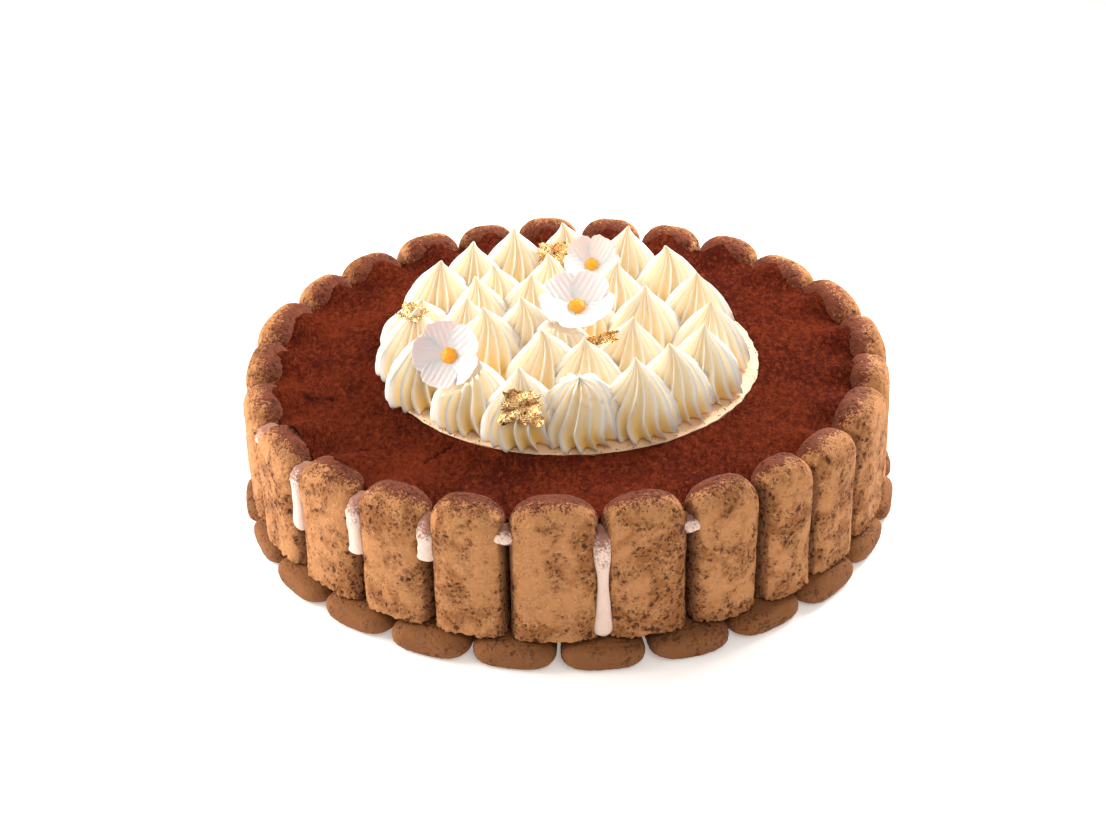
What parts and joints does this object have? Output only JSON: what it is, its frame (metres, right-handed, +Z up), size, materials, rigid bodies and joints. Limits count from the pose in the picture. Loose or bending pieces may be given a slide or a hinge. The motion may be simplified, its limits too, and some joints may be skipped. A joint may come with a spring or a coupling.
{
  "type": "tiramisu cake",
  "caption": "Round tiramisu: ladyfingers stand round a cocoa-dusted mascarpone filling topped with piped cream kisses, gold leaf and sugar flowers.",
  "frame": {"origin": "middle of the flat underside", "axes": "+Z up through the middle of the cake; -Y towards the side that the picture shows"},
  "size_m": [0.2589, 0.2583, 0.0895],
  "materials": {
    "biscuit": "dry porous baked sponge",
    "cream": "soft moist mascarpone",
    "cocoa": "matt powder",
    "piped_cream": "satin whipped cream",
    "sugar": "smooth sugar paste"
  },
  "bodies": {
    "root": {"ladyfinger_01": "biscuit", "ladyfinger_02": "biscuit", "ladyfinger_03": "biscuit", "ladyfinger_04": "biscuit", "ladyfinger_05": "biscuit", "ladyfinger_06": "biscuit", "ladyfinger_07": "biscuit", "ladyfinger_08": "biscuit", "ladyfinger_09": "biscuit", "ladyfinger_10": "biscuit", "ladyfinger_11": "biscuit", "ladyfinger_12": "biscuit", "ladyfinger_13": "biscuit", "ladyfinger_14": "biscuit", "ladyfinger_15": "biscuit", "ladyfinger_16": "biscuit", "ladyfinger_17": "biscuit", "ladyfinger_18": "biscuit", "ladyfinger_19": "biscuit", "ladyfinger_20": "biscuit", "ladyfinger_21": "biscuit", "ladyfinger_22": "biscuit", "ladyfinger_23": "biscuit", "ladyfinger_24": "biscuit", "ladyfinger_25": "biscuit", "base_biscuit_01": "biscuit", "base_biscuit_02": "biscuit", "base_biscuit_03": "biscuit", "base_biscuit_04": "biscuit", "base_biscuit_05": "biscuit", "base_biscuit_06": "biscuit", "base_biscuit_07": "biscuit", "base_biscuit_08": "biscuit", "base_biscuit_09": "biscuit", "base_biscuit_10": "biscuit", "base_biscuit_11": "biscuit", "base_biscuit_12": "biscuit", "base_biscuit_13": "biscuit", "base_biscuit_14": "biscuit", "base_biscuit_15": "biscuit", "base_biscuit_16": "biscuit", "base_biscuit_17": "biscuit", "base_biscuit_18": "biscuit", "base_biscuit_19": "biscuit", "base_biscuit_20": "biscuit", "base_biscuit_21": "biscuit", "base_biscuit_22": "biscuit", "base_biscuit_23": "biscuit", "base_biscuit_24": "biscuit", "base_biscuit_25": "biscuit", "mascarpone_filling": "cream", "cocoa_dusting": "cocoa", "piped_cream": "piped_cream", "flower_centre": "sugar", "flower_left": "sugar", "flower_back": "sugar"}
  },
  "joints": []
}
